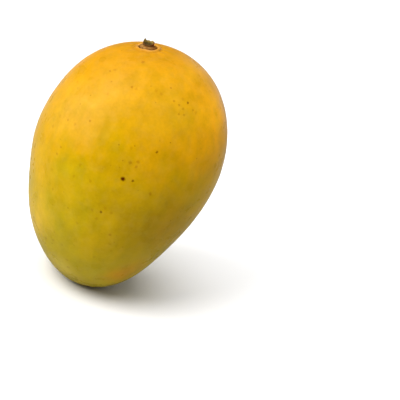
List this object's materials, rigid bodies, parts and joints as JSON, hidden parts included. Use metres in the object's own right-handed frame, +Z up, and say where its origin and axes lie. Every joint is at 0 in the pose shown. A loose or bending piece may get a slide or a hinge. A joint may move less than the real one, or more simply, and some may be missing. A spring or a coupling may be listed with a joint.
{
  "type": "mango",
  "caption": "Whole ripe mango standing on its lower end, yellow going green below, with the broken stub of its stalk on top.",
  "frame": {"origin": "on the flat spot that the fruit rests on, straight below its centre of mass", "axes": "+Z up through the stalk end, +X to the fuller shoulder, +Y through the fruit's thickness to the back, so that -Y is the broad side seen first"},
  "size_m": [0.0867, 0.0806, 0.1212],
  "materials": {
    "skin": "satin",
    "stalk_wood": "matte"
  },
  "bodies": {
    "root": {"fruit": "skin", "stalk_stub": "stalk_wood"}
  },
  "joints": []
}
